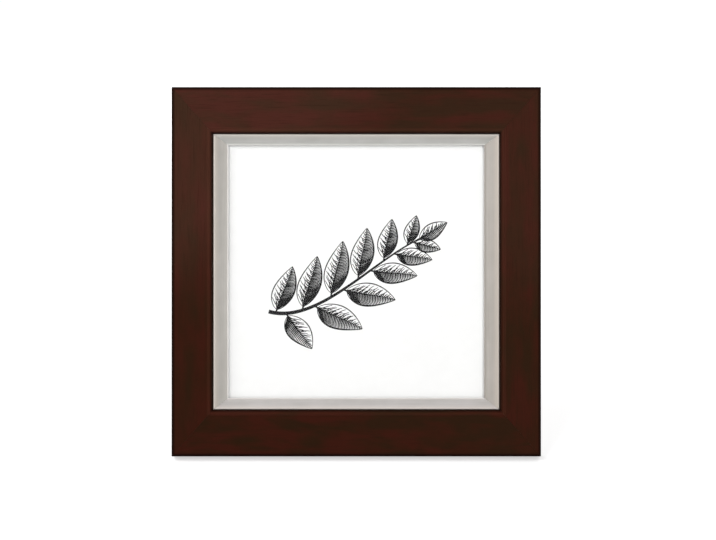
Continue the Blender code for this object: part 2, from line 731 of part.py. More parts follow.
def make_strut(face_empty, board, steel, zinc, fibreboard):
    hinge_place = (0, HINGE_DEPTH, HINGE_HEIGHT)
    pivot = add_object("strut_pivot", None, PARTS, face_empty, hinge_place, (STRUT_OPENING, 0, 0))
    fixed = add_part("hinge_fixed_leaf", fixed_leaf_mesh(), zinc, face_empty, hinge_place)
    pin = turned("hinge_pin", pin_profile(), 16)
    add_part("hinge_pin", pin, steel, face_empty, hinge_place, FACING_RIGHT)
    moving = add_part("hinge_moving_leaf", moving_leaf_mesh(), zinc, pivot)
    strut = add_part("strut", strut_mesh(), fibreboard, pivot)
    soften(strut, STRUT_THICKNESS / 8, 1)
    board_stack = LEAF_THICKNESS + 2 * FIT + BOARD_THICKNESS
    strut_stack = LEAF_THICKNESS + 2 * FIT + STRUT_THICKNESS
    for side, x in (("left", -LEAF_RIVET_SPACING / 2), ("right", LEAF_RIVET_SPACING / 2)):
        head = (x, BOARD_BACK + LEAF_THICKNESS + 2 * FIT, HINGE_HEIGHT + LEAF_RIVET_HEIGHT)
        add_rivet(f"{side}_board_rivet", face_empty, head, board_stack, steel, (fixed, board))
        head = (x, KNUCKLE_RADIUS + FIT, -LEAF_RIVET_HEIGHT)
        add_rivet(f"{side}_strut_rivet", pivot, head, strut_stack, steel, (moving, strut))


# Hanger


def strap_path():
    """The strap's strip, folded double round the ring's bar at (0, 0)."""
    radius = RING_WIRE_RADIUS + FIT + STRAP_THICKNESS / 2
    pinched = -radius + STRAP_THICKNESS + FIT
    over = [
        (-radius * math.cos(math.radians(20 * i)), radius * math.sin(math.radians(20 * i)))
        for i in range(10)
    ]
    return [(-radius, -STRAP_LENGTH), *over, (pinched, -STRAP_PINCH), (pinched, -STRAP_LENGTH)]


def ring_outline():
    """Centre line of the ring: a bar at Z = 0, two legs, and a half circle below."""
    legs = RING_RADIUS
    corner = RING_CORNER
    half = [
        *arc((legs - corner, -corner), corner, 90, 0, 4),
        *arc((0, -RING_LEG), RING_RADIUS, 0, -80, 6),
    ]
    return half + [(0, -RING_LEG - RING_RADIUS)] + [(-x, z) for x, z in reversed(half)]


def ring_mesh():
    curve = bpy.data.curves.new("hanging_ring", "CURVE")
    curve.dimensions = "3D"
    curve.bevel_depth = RING_WIRE_RADIUS
    curve.bevel_resolution = 2
    outline = ring_outline()
    spline = curve.splines.new("POLY")
    spline.points.add(len(outline) - 1)
    for point, (x, z) in zip(spline.points, outline):
        point.co = (x, 0, z, 1)
    spline.use_cyclic_u = True
    return curve


def make_hanger(face_empty, board, zinc, steel):
    """A strap riveted to the board, and a ring that hangs plumb in its fold."""
    radius = RING_WIRE_RADIUS + FIT + STRAP_THICKNESS
    bar_depth = BOARD_BACK + FIT + radius
    place = (0, bar_depth, HANGER_HEIGHT)
    path = strap_path()
    ends = [(x, *path[end]) for end in (0, -1) for x in (-STRAP_WIDTH / 2, STRAP_WIDTH / 2)]
    column = (-STRAP_WIDTH / 2, STRAP_WIDTH / 2, path)
    fold = bent_strip("hanger_strap", [column], STRAP_THICKNESS, ends, STRAP_WIDTH * 0.45)
    strap = add_part("hanger_strap", fold, zinc, face_empty, place)
    stack = 2 * STRAP_THICKNESS + 3 * FIT + BOARD_THICKNESS
    head = (0, BOARD_BACK + 2 * STRAP_THICKNESS + 3 * FIT, HANGER_HEIGHT - STRAP_RIVET)
    add_rivet("hanger_rivet", face_empty, head, stack, steel, (strap, board))
    add_part("hanging_ring", ring_mesh(), steel, face_empty, place, (LEAN, 0, 0))


# Build


clear_scene()
PARTS = new_collection("photo_frame")
CUTTERS = new_collection("cutters")

brown_plastic = material("brown_plastic", (58, 33, 24), 0.42)
silver_plastic = material("silver_plastic", (186, 181, 174), 0.38, metallic=0.35)
clear_glass = material("clear_glass", (250, 252, 250), 0.02, transmission=1.0)
white_paper = material("white_paper", (250, 250, 249), 0.6)
grey_card = material("grey_card", (150, 146, 138), 0.85)
fibreboard = material("fibreboard", (108, 78, 52), 0.7)
zinc_plate = material("zinc_plate", (178, 180, 182), 0.35, metallic=1.0)
bright_steel = material("bright_steel", (160, 160, 160), 0.3, metallic=1.0)

floor_place = (0, -(FRONT_REACH + BACK_REACH) / 2, FLOOR_DROP)
face_space = add_object("face_space", None, PARTS, None, floor_place, (-LEAN, 0, 0))
side_rails = make_rails(face_space, brown_plastic, silver_plastic)
make_corner_nails(face_space, side_rails, bright_steel)
backing = make_sheets(face_space, clear_glass, white_paper, grey_card, fibreboard)
make_turn_buttons(face_space, side_rails, zinc_plate, bright_steel)
make_strut(face_space, backing, bright_steel, zinc_plate, fibreboard)
make_hanger(face_space, backing, zinc_plate, bright_steel)
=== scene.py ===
"""Looks of the square photo frame: materials, smooth fasteners, the print, light and camera.

Face space is X to the right, Y from the front face to the back, and Z up the face from
its bottom edge. Lengths are in metres.
"""

import math
import random

import bmesh
import bpy
from mathutils import Matrix, Vector


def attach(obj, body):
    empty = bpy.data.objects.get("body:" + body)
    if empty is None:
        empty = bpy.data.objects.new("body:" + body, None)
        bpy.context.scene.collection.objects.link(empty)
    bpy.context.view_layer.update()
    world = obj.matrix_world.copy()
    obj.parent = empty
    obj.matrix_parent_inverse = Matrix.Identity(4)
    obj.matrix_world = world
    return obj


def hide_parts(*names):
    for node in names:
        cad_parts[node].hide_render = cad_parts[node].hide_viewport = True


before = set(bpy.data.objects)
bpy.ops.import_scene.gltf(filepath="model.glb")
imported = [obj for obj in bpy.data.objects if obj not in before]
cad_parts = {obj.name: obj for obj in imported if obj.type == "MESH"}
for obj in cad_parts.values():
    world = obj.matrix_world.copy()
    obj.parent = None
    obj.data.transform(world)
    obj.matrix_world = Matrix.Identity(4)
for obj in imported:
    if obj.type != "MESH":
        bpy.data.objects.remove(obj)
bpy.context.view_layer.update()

# Where the frame stands, as in the CAD model
LEAN = math.radians(15)
FACE_ORIGIN = (0, -0.056166, 0.004503)
FACE_SPACE = Matrix.Translation(FACE_ORIGIN) @ Matrix.Rotation(-LEAN, 4, "X")
STRUT_OPENING = math.radians(28)

# Mouldings and sheets, as in the CAD model
OUTER = 0.277
SIDE_FACE = 0.0310
END_FACE = 0.0351
SIDE_SLIP = 0.0113
END_SLIP = 0.0084
RAIL_DEPTH = 0.018
LIP_THICKNESS = 0.0040
SIDE_REBATE = 0.0060
MITRE_GAP = 0.00006
SIGHT_BACK = 0.0078
PRINT_FRONT = 0.0100
BOARD_BACK = 0.0177
FIT = 0.0003

# Fasteners, as in the CAD model
BUTTON_THICKNESS = 0.0010
BUTTON_REACH = 0.0250
BUTTON_PIVOT_RADIUS = 0.0055
BUTTON_TIP_RADIUS = 0.0036
BUTTON_INSET = 0.0190
BUTTON_SPACING = 0.1200
SCREW_RADIUS = 0.0015
SCREW_LENGTH = 0.0100
SCREW_HEAD_RADIUS = 0.0034
SCREW_HEAD_HEIGHT = 0.0018
RIVET_RADIUS = 0.0012
RIVET_HEAD_RADIUS = 0.0024
RIVET_HEAD_HEIGHT = 0.0009
RIVET_TAIL_RADIUS = 0.0020
RIVET_TAIL_HEIGHT = 0.0007
RIVET_TAIL_RECESS = 0.0002
LEAF_THICKNESS = 0.0008
BOARD_THICKNESS = 0.0030
STRUT_THICKNESS = 0.0030
HINGE_HEIGHT = 0.190
HINGE_DEPTH = 0.0204
KNUCKLE_RADIUS = 0.0020
RIVET_SPACING = 0.0180
RIVET_HEIGHT = 0.0145
PIN_RADIUS = 0.0009
PIN_HEAD_RADIUS = 0.0016
PIN_HEAD_LENGTH = 0.0006
PIN_REACH = 0.0163
HANGER_HEIGHT = 0.229
HANGER_DEPTH = 0.01985
HANGER_RIVET_BELOW = 0.0058
STRAP_THICKNESS = 0.0008
RING_WIRE = 0.00075
RING_RADIUS = 0.0095
RING_LEG = 0.0050
RING_CORNER = 0.0022

# Detail that the CAD model leaves out
BUTTON_EDGE = 0.0002
CROSS_REACH = 0.0019
CROSS_WIDTH = 0.00044
CROSS_DEPTH = 0.0010
CROSS_TAPER = 0.45
THREAD_START = 0.0006
THREAD_PITCH = 0.0011
THREAD_TURNS = 7
THREAD_ROOT = SCREW_RADIUS * 0.74
GLUE_FRONT = 0.0012
GLUE_FRONT_AT_LIP = 0.0030
GLUE_BACK = 0.0070
GLUE_OUTER_MARGIN = 0.0006
GLUE_INNER_MARGIN = 0.0004
GLUE_MARGIN = 0.0002
GLUE_EDGE = 0.00001

# Lamps: name, direction in face space, distance, size and power
LAMPS = (
    ("key", (-0.40, -1.0, 0.42), 1.75, 0.55, 9.2),
    ("left", (-1.9, -1.0, 1.2), 1.8, 0.6, 9.0),
    ("right", (0.45, -1.0, 0.0), 1.8, 0.6, 8.6),
    ("back_left", (0.6, 1.0, 0.9), 1.8, 0.8, 9.0),
    ("back_right", (-0.7, 1.0, 0.75), 1.8, 0.8, 9.0),
)
SKY_LEVEL = 0.27

# The floor, and its own glow, which is weaker near the frame so that the shadow shows
FLOOR_RADIUS = 12
NEAR_FLOOR = 0.6
FAR_FLOOR = 1.5
NEAR_GLOW = 0.56
FAR_GLOW = 0.78

# Camera
CAMERA_DISTANCE = 1.5
FOCAL_LENGTH = 100.7
SENSOR_WIDTH = 36
AIM_RIGHT = 0.0013
AIM_UP = 0.0013


def linear(channel):
    """A channel of a screen colour in 0 to 255, as a share of light."""
    share = channel / 255
    if share <= 0.04045:
        return share / 12.92
    return ((share + 0.055) / 1.055) ** 2.4


def screen(red, green, blue):
    """A shader colour from a screen colour in 0 to 255."""
    return (linear(red), linear(green), linear(blue), 1)


def tinted(colour, *shares):
    """A shader colour with its red, green and blue taken more or less strongly."""
    return (*(channel * share for channel, share in zip(colour, shares)), 1)


# The foil's brown, and a paler brown for a painted sheen at its upper left
DEEP_BROWN = screen(43, 20, 10)
SHEEN_BROWN = screen(61, 35, 26)

# Where each side lies in the grain of its foils
GRAIN_SHIFTS = {
    "bottom": (0.31, 0, 0.02),
    "top": (1.1, 0, 0.3),
    "left": (2.3, 0, 0.5),
    "right": (3.7, 0, 0.9),
}

# How softly each rail's red and dull tones part, and how much redder it grows along itself
FOIL_FIGURES = {
    "bottom": (0.066, -0.20),
    "top": (0.085, 0.36),
    "left": (0.14, 0.40),
    "right": (0.10, 0),
}

# Bands of painted shade and highlight across a rail: from its outer edge, down its side, and back
# from its inner edge
EDGE_ACROSS = (0.0013, 0.0032)
EDGE_DOWN = (0.0010, 0.0030)
BEAD_RISE = (0.0050, 0.0036)
BEAD_FALL = (0.0028, 0.0016)
BEAD_SHADE = (0.0020, 0.0008)

# Painted light and shade on each slip: its slope as a lighter or darker copy of one silver by how
# light falls on that side, a painted highlight on its lip, a painted highlight on its nose except
# painted shade on the right one, and where across the slip the nose starts
SLIP_PAINTED_TONES = {
    "left": (screen(182, 178, 172), screen(197, 189, 180), screen(252, 250, 248), 0.93),
    "right": (screen(171, 165, 158), screen(187, 178, 168), screen(166, 160, 153), 0.78),
    "top": (screen(186, 185, 181), screen(203, 198, 191), screen(203, 202, 198), 0.80),
    "bottom": (screen(189, 185, 182), screen(213, 205, 199), screen(216, 211, 208), 0.84),
}
# Where across a slip its lip's painted highlight starts and ends to fade, as shares of its width
LIP_FADE = (0.16, 0.48)


# Shader nodes


class Graph:
    """The nodes of one material, and short ways to add to them."""

    def __init__(self, name):
        self.material = bpy.data.materials.new(name)
        self.material.use_nodes = True
        self.nodes = self.material.node_tree.nodes
        self.links = self.material.node_tree.links
        self.shader = self.nodes["Principled BSDF"]
        self.output = self.nodes["Material Output"]

    def put(self, socket, value):
        if isinstance(value, bpy.types.NodeSocket):
            self.links.new(value, socket)
        else:
            socket.default_value = value

    def add(self, kind, inputs, **settings):
        node = self.nodes.new(kind)
        for name, value in settings.items():
            setattr(node, name, value)
        for name, value in inputs.items():
            self.put(node.inputs[name], value)
        return node

    def finish(self, **inputs):
        """The material, with the named inputs of its shader set."""
        for name, value in inputs.items():
            self.put(self.shader.inputs[name.replace("_", " ")], value)
        return self.material

    def place(self, matrix=Matrix.Identity(4)):
        """Object coordinates, moved by a matrix into a piece's own space."""
        source = self.add("ShaderNodeTexCoord", {}).outputs["Object"]
        turn = {"Vector": source, "Location": matrix.translation, "Rotation": matrix.to_euler()}
        return self.add("ShaderNodeMapping", turn).outputs["Vector"]

    def shifted(self, vector, shift):
        node = self.add("ShaderNodeVectorMath", {0: vector, 1: shift}, operation="ADD")
        return node.outputs["Vector"]

    def scaled(self, vector, *scale):
        return self.add("ShaderNodeMapping", {"Vector": vector, "Scale": scale}).outputs["Vector"]

    def axes(self, vector):
        return self.add("ShaderNodeSeparateXYZ", {"Vector": vector}).outputs

    def noise(self, vector, detail=3.0, roughness=0.5, distortion=0.0, scale=1.0):
        inputs = {
            "Vector": vector,
            "Scale": scale,
            "Detail": detail,
            "Roughness": roughness,
            "Distortion": distortion,
        }
        return self.add("ShaderNodeTexNoise", inputs).outputs["Fac"]

    def ramp(self, factor, *stops):
        node = self.add("ShaderNodeValToRGB", {"Fac": factor})
        elements = node.color_ramp.elements
        for (position, colour), element in zip(stops, elements):
            element.position, element.color = position, colour
        for position, colour in stops[len(elements):]:
            elements.new(position).color = colour
        return node.outputs["Color"]

    def spread(self, value, low, high, to_low, to_high):
        """A value's stretch from low to high, laid smoothly from to_low to to_high."""
        inputs = {
            "Value": value,
            "From Min": low,
            "From Max": high,
            "To Min": to_low,
            "To Max": to_high,
        }
        node = self.add("ShaderNodeMapRange", inputs, interpolation_type="SMOOTHSTEP")
        return node.outputs["Result"]

    def varied(self, noise, to_low, to_high):
        """The range in which noise has nearly all its values, laid from to_low to to_high."""
        return self.spread(noise, 0.3, 0.7, to_low, to_high)

    def math(self, operation, first, second):
        node = self.add("ShaderNodeMath", {0: first, 1: second}, operation=operation)
        return node.outputs["Value"]

    def weighted(self, *parts):
        """The sum of some values, each with its share."""
        products = [self.math("MULTIPLY", value, share) for value, share in parts]
        total = products[0]
        for product in products[1:]:
            total = self.math("ADD", total, product)
        return total

    def mix(self, factor, first, second):
        """A mix of two colours, which are a Mix node's inputs 6 and 7 and its output 2."""
        inputs = {0: factor, 6: first, 7: second}
        return self.add("ShaderNodeMix", inputs, data_type="RGBA").outputs[2]

    def rounded(self, radius):
        """Normals that round off sharp edges."""
        return self.add("ShaderNodeBevel", {"Radius": radius}, samples=6).outputs["Normal"]

    def bump(self, height, distance, normal=None):
        inputs = {"Height": height, "Distance": distance, "Strength": 1.0}
        if normal is not None:
            inputs["Normal"] = normal
        return self.add("ShaderNodeBump", inputs).outputs["Normal"]


# Materials


def moulding_space(side):
    """From the world to a moulding's own space: X along it, Y deep, Z in from the outer edge."""
    half = OUTER / 2
    place, turn = {
        "bottom": ((0, 0, 0), 0),
        "top": ((0, 0, OUTER), math.pi),
        "left": ((-half, 0, half), math.pi / 2),
        "right": ((half, 0, half), -math.pi / 2),
    }[side]
    moved = FACE_SPACE @ Matrix.Translation(place) @ Matrix.Rotation(turn, 4, "Y")
    return moved.inverted()


def painted_sheen(graph):
    """How strong the painted sheen on the brown is: most at the upper left, and least along the
    bottom.
    """
    x, _, z = graph.axes(graph.place(FACE_SPACE.inverted()))
    corner = graph.math("SUBTRACT", graph.math("MULTIPLY", z, 1.17), x)
    corner = graph.spread(corner, 0.262, 0.340, 0, 0.55)
    return graph.math("ADD", corner, graph.spread(z, 0.088, 0.178, 0, 0.45))


def brown_figure(graph, grain, along, side):
    """The foil's large soft patches, some redder and some duller than the mean, mixed towards a
    paler brown for a painted sheen at the upper left.
    """
    softness, drift = FOIL_FIGURES[side]
    broad = graph.noise(graph.scaled(grain, 19, 100, 100), 3, 0.5, 0.5)
    cloud = graph.noise(graph.scaled(grain, 28, 64, 64), 2, 0.5)
    figure = graph.weighted((broad, 0.5), (cloud, 0.5), (along, drift))
    tones = []
    for mean, reach in ((DEEP_BROWN, 0.3), (SHEEN_BROWN, 0.2)):
        dull = tinted(mean, 1 - reach, 1 + 0.2 * reach, 1 - 0.2 * reach)
        red = tinted(mean, 1 + 1.1 * reach, 1 - 0.2 * reach, 1 + 0.5 * reach)
        tones.append(graph.ramp(figure, (0.5 - softness, dull), (0.5, mean), (0.5 + softness, red)))
    # The mix towards the paler tones is a painted sheen, strongest at the upper left
    return graph.mix(painted_sheen(graph), *tones)


def painted_edge_shading(graph, colour, depth, across, face):
    """The foil with painted shade on its outer edge, a painted highlight on its bead and painted
    shade at its inner edge.
    """
    # Painted shade along the outer edge and down the side
    edge = graph.spread(across, *EDGE_ACROSS, 0.9, 0)
    edge = graph.math("MULTIPLY", edge, graph.spread(depth, *EDGE_DOWN, 1, 0))
    colour = graph.mix(edge, colour, screen(4, 1, 1))
    # A painted highlight on the bead's crown, then painted shade where it falls to the inner edge
    bands = ((BEAD_RISE, 0, 0.12), (BEAD_FALL, 1, 0), (BEAD_SHADE, 0, 0.7))
    rise, fall, shade = (
        graph.spread(across, face - start, face - end, to_low, to_high)
        for (start, end), to_low, to_high in bands
    )
    colour = graph.mix(graph.math("MULTIPLY", rise, fall), colour, screen(96, 54, 42))
    return graph.mix(shade, colour, screen(18, 7, 4))


def brown_foil(side):
    """Dark mahogany foil with its grain along one rail, a painted sheen, and painted shade and
    highlight at its edges.
    """
    graph = Graph(f"brown_foil_{side}")
    face = SIDE_FACE if side in ("left", "right") else END_FACE
    own = graph.place(moulding_space(side))
    along, depth, across = graph.axes(own)
    grain = graph.shifted(own, GRAIN_SHIFTS[side])
    fine = graph.noise(graph.scaled(grain, 35, 1100, 1100), 4, 0.6)
    pores = graph.noise(graph.scaled(grain, 130, 3600, 3600), 2, 0.5)
    smudge = graph.noise(grain, 2, 0.5, 0, 60)
    colour = brown_figure(graph, grain, along, side)
    colour = graph.mix(graph.spread(fine, 0.3, 0.5, 0.4, 0), colour, screen(32, 15, 9))
    colour = graph.mix(graph.spread(pores, 0.6, 0.7, 0, 0.35), colour, screen(22, 9, 4))
    height = graph.math("SUBTRACT", fine, graph.spread(pores, 0.6, 0.7, 0, 0.8))
    return graph.finish(
        Base_Color=painted_edge_shading(graph, colour, depth, across, face),
        Roughness=graph.math("ADD", graph.varied(smudge, 0.36, 0.46), graph.varied(fine, 0.05, 0)),
        Normal=graph.bump(height, 0.00002, graph.rounded(0.00012)),
        Specular_IOR_Level=0.08,
        Specular_Tint=screen(255, 178, 148),
    )


def bare_plastic(graph, foil, own, face):
    """A slip's foil where it can be seen, and dark plastic behind that."""
    _, depth, across = graph.axes(own)
    covered = graph.spread(across, face - FIT, face, 1, 0)
    behind = graph.spread(depth, SIGHT_BACK, SIGHT_BACK + FIT, 0, 1)
    grit = graph.noise(own, 4, 0.65, 0, 1500)
    plastic = graph.ramp(grit, (0.35, screen(33, 27, 24)), (0.65, screen(52, 44, 40)))
    return graph.mix(graph.math("MAXIMUM", covered, behind), foil, plastic)


def silver_foil(side):
    """Warm satin silver foil, brushed along one slip, painted lighter or darker by how light falls
    on that side, with a painted highlight on its lip and on its nose, except painted shade on the
    right slip's nose.
    """
    graph = Graph(f"silver_foil_{side}")
    upright = side in ("left", "right")
    face, width = (SIDE_FACE, SIDE_SLIP) if upright else (END_FACE, END_SLIP)
    # Each side's tones are painted light and shade: lighter or darker copies of one silver
    slope, lip, nose, nose_start = SLIP_PAINTED_TONES[side]
    own = graph.place(moulding_space(side))
    across = graph.axes(own)[2]
    grain = graph.shifted(own, GRAIN_SHIFTS[side])
    brushed = graph.noise(graph.scaled(grain, 25, 2600, 2600), 3, 0.6)
    cloud = graph.noise(grain, 2, 0.5, 0, 70)
    colour = graph.ramp(
        graph.weighted((brushed, 0.6), (cloud, 0.4)),
        (0.35, tinted(slope, 0.9, 0.9, 0.89)),
        (0.65, tinted(slope, 1.1, 1.1, 1.11)),
    )
    # The nose: a painted highlight, and on the right slip painted shade
    nose_end = (nose_start + 1) / 2
    inward = graph.spread(across, face + width * nose_start, face + width * nose_end, 0, 1)
    colour = graph.mix(inward, colour, nose)
    # The lip: a painted highlight
    outward = graph.spread(across, *(face + width * share for share in LIP_FADE), 0.9, 0)
    colour = graph.mix(outward, colour, lip)
    return graph.finish(
        Base_Color=bare_plastic(graph, colour, own, face),
        Roughness=graph.varied(brushed, 0.4, 0.5),
        Normal=graph.bump(brushed, 0.000012, graph.rounded(0.0003)),
        Metallic=0.15,
    )


def clear_pane():
    """Clear glazing that hardly mirrors. Lamps and diffuse light pass straight through it."""
    graph = Graph("clear_pane")
    wave = graph.noise(graph.place(), 1, 0.5, 0, 9)
    graph.finish(
        Base_Color=(1, 1, 1, 1),
        Roughness=0.0,
        IOR=1.45,
        Transmission_Weight=1.0,
        Specular_Tint=(0.15, 0.15, 0.15, 1),
        Normal=graph.bump(wave, 0.00001),
    )
    path = graph.add("ShaderNodeLightPath", {}).outputs
    passing = graph.math("MAXIMUM", path["Is Shadow Ray"], path["Is Diffuse Ray"])
    clear = graph.add("ShaderNodeBsdfTransparent", {})
    shaders = {0: passing, 1: graph.shader.outputs[0], 2: clear.outputs[0]}
    mixed = graph.add("ShaderNodeMixShader", shaders)
    graph.put(graph.output.inputs["Surface"], mixed.outputs[0])
    return graph.material


def print_paper():
    """Smooth white paper with a fine tooth."""
    graph = Graph("print_paper")
    own = graph.place()
    tooth = graph.noise(own, 4, 0.6, 0, 2600)
    cloud = graph.noise(own, 2, 0.5, 0, 90)
    return graph.finish(
        Base_Color=graph.ramp(cloud, (0.35, screen(252, 252, 251)), (0.65, screen(254, 254, 253))),
        Roughness=graph.varied(tooth, 0.55, 0.68),
        Normal=graph.bump(tooth, 0.00001),
    )


def print_ink():
    """Black printing ink, a little uneven where the paper shows through."""
    graph = Graph("print_ink")
    speckle = graph.noise(graph.place(), 3, 0.6, 0, 3200)
    return graph.finish(
        Base_Color=graph.ramp(speckle, (0.4, screen(12, 12, 13)), (0.72, screen(34, 33, 34))),
        Roughness=graph.varied(speckle, 0.42, 0.6),
        Normal=graph.bump(speckle, 0.000005),
        Specular_IOR_Level=0.1,
    )


def joint_glue():
    """Dark brown glue, a little uneven."""
    graph = Graph("joint_glue")
    grit = graph.noise(graph.place(), 3, 0.6, 0, 1800)
    return graph.finish(
        Base_Color=graph.ramp(grit, (0.35, screen(26, 12, 8)), (0.65, screen(42, 22, 14))),
        Roughness=graph.varied(grit, 0.45, 0.6),
        Normal=graph.bump(grit, 0.00001),
    )


def grey_board():
    """Grey card with pressed fibres."""
    graph = Graph("grey_board")
    fibres = graph.noise(graph.place(), 4, 0.65, 0.6, 900)
    return graph.finish(
        Base_Color=graph.ramp(fibres, (0.3, screen(134, 130, 122)), (0.7, screen(160, 156, 148))),
        Roughness=0.85,
        Normal=graph.bump(fibres, 0.00003),
    )


def hardboard(name, dark, middle, pale):
    """Pressed wood fibre with a smooth face and flecks of longer fibres."""
    graph = Graph(name)
    own = graph.place(FACE_SPACE.inverted())
    cloud = graph.noise(own, 3, 0.55, 0.3, 55)
    fleck = graph.noise(graph.scaled(own, 420, 700, 1500), 3, 0.6, 1.2)
    cross = graph.noise(graph.scaled(own, 1400, 700, 380), 3, 0.6, 1.2)
    dust = graph.noise(own, 4, 0.6, 0, 2300)
    body = graph.weighted((cloud, 0.15), (dust, 0.4), (fleck, 0.45))
    colour = graph.ramp(body, (0.36, dark), (0.5, middle), (0.64, pale))
    colour = graph.mix(graph.spread(cross, 0.64, 0.74, 0, 0.5), colour, pale)
    colour = graph.mix(graph.spread(fleck, 0.66, 0.76, 0, 0.5), colour, dark)
    height = graph.weighted((dust, 1), (cross, 0.6))
    return graph.finish(
        Base_Color=colour,
        Roughness=graph.varied(cloud, 0.5, 0.68),
        Normal=graph.bump(height, 0.00003, graph.rounded(0.0004)),
    )


def zinc_sheet():
    """Zinc-plated sheet steel: dull, faintly mottled, with fine scratches."""
    graph = Graph("zinc_sheet")
    own = graph.place(FACE_SPACE.inverted())
    mottle = graph.noise(own, 3, 0.55, 0.3, 600)
    scratch = graph.noise(graph.scaled(own, 260, 2000, 5200), 2, 0.6)
    colour = graph.ramp(mottle, (0.35, screen(170, 172, 174)), (0.65, screen(190, 191, 190)))
    colour = graph.mix(graph.spread(scratch, 0.62, 0.72, 0, 0.35), colour, screen(214, 214, 212))
    return graph.finish(
        Base_Color=colour,
        Roughness=graph.varied(mottle, 0.3, 0.46),
        Normal=graph.bump(scratch, 0.000012, graph.rounded(0.0002)),
        Metallic=1.0,
    )


def drawn_steel():
    """Bright steel with fine drawn or turned lines."""
    graph = Graph("drawn_steel")
    own = graph.place()
    lines = graph.noise(graph.scaled(own, 700, 700, 5200), 3, 0.6)
    spots = graph.noise(own, 3, 0.55, 0, 1300)
    return graph.finish(
        Base_Color=graph.ramp(spots, (0.35, screen(160, 160, 160)), (0.65, screen(184, 183, 181))),
        Roughness=graph.varied(lines, 0.2, 0.36),
        Normal=graph.bump(lines, 0.000008),
        Metallic=1.0,
    )


# Meshes


def arc(centre, radius, start, end, steps):
    """Points on an arc in degrees, both ends included."""
    turns = [math.radians(start + (end - start) * i / steps) for i in range(steps + 1)]
    return [(centre[0] + radius * math.cos(a), centre[1] + radius * math.sin(a)) for a in turns]


def add_piece(name, mesh, finish, body, node, place):
    """A piece that rides on a body, and stands for a CAD node if one is named."""
    mesh.materials.clear()
    mesh.materials.append(finish)
    piece = bpy.data.objects.new(name, mesh)
    bpy.context.scene.collection.objects.link(piece)
    piece.matrix_world = place
    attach(piece, body)
    if node:
        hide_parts(node)
    return piece


def applied(thing):
    """The mesh of an object with its modifiers or bevel applied. The object goes."""
    bpy.context.scene.collection.objects.link(thing)
    bpy.context.view_layer.update()
    view = bpy.context.evaluated_depsgraph_get()
    mesh = bpy.data.meshes.new_from_object(thing.evaluated_get(view))
    bpy.data.objects.remove(thing)
    return mesh


def smoothed(mesh, angle=35):
    """A mesh shaded smooth, apart from edges sharper than an angle in degrees."""
    mesh.shade_smooth()
    mesh.set_sharp_from_angle(angle=math.radians(angle))
    return mesh


def turned(name, profile, steps=48):
    """A turned piece: its profile in radius and height, from the top down, about Z."""
    mesh = bpy.data.meshes.new(name)
    line = [(radius, 0, height) for radius, height in profile]
    mesh.from_pydata(line, [(i, i + 1) for i in range(len(line) - 1)], [])
    lathe = bpy.data.objects.new(name, mesh)
    screw = lathe.modifiers.new("turn", "SCREW")
    screw.steps = steps
    screw.render_steps = steps
    screw.use_merge_vertices = True
    screw.merge_threshold = 1e-6
    return smoothed(applied(lathe))


def add_loop(curve, points):
    """A closed spline of straight steps through some points."""
    spline = curve.splines.new("POLY")
    spline.points.add(len(points) - 1)
    for target, point in zip(spline.points, points):
        target.co = (*point, 1)
    spline.use_cyclic_u = True


def plate(name, outlines, thickness, edge, axes):
    """A flat piece with rounded edges. The outlines after the first are its holes."""
    curve = bpy.data.curves.new(name, "CURVE")
    curve.dimensions = "2D"
    curve.fill_mode = "BOTH"
    curve.extrude = thickness / 2 - edge
    curve.bevel_depth = edge
    curve.bevel_resolution = 3
    curve.offset = -edge
    for outline in outlines:
        add_loop(curve, [(x, y, 0) for x, y in outline])
    mesh = applied(bpy.data.objects.new(name, curve))
    mesh.transform(axes)
    return smoothed(mesh, 50)


def wire(name, path, radius):
    """A closed round wire along a path in X and Z."""
    curve = bpy.data.curves.new(name, "CURVE")
    curve.dimensions = "3D"
    curve.bevel_depth = radius
    curve.bevel_resolution = 5
    add_loop(curve, [(x, 0, z) for x, z in path])
    return smoothed(applied(bpy.data.objects.new(name, curve)), 60)


# Fasteners

FACING_BACK = Matrix.Rotation(-math.pi / 2, 4, "X")
FACING_RIGHT = Matrix.Rotation(math.pi / 2, 4, "Y")
FLAT_TO_FACE = Matrix.Rotation(math.pi / 2, 4, "X")
HINGE_SPACE = FACE_SPACE @ Matrix.Translation((0, HINGE_DEPTH, HINGE_HEIGHT))
STRUT_SPACE = HINGE_SPACE @ Matrix.Rotation(STRUT_OPENING, 4, "X")


def dome(radius, height, steps=10):
    """Profile of a domed head down to its rim, standing on height 0."""
    rim = height * 0.25
    turns = [math.radians(90 - 90 * i / steps) for i in range(steps + 1)]
    crown = [(radius * math.cos(a), rim + (height - rim) * math.sin(a)) for a in turns]
    return [*crown, (radius, 0)]


def cross_cutter():
    """A tapered cross, to press into a screw head."""
    shape = bmesh.new()
    for along, wide in ((CROSS_REACH, CROSS_WIDTH), (CROSS_WIDTH, CROSS_REACH)):
        for vert in bmesh.ops.create_cube(shape, size=2)["verts"]:
            x, y, z = vert.co
            taper = 1.0 if z > 0 else CROSS_TAPER
            vert.co = (x * along * taper, y * wide * taper, z * CROSS_DEPTH)
    mesh = bpy.data.meshes.new("cross")
    shape.to_mesh(mesh)
    shape.free()
    return bpy.data.objects.new("cross", mesh)


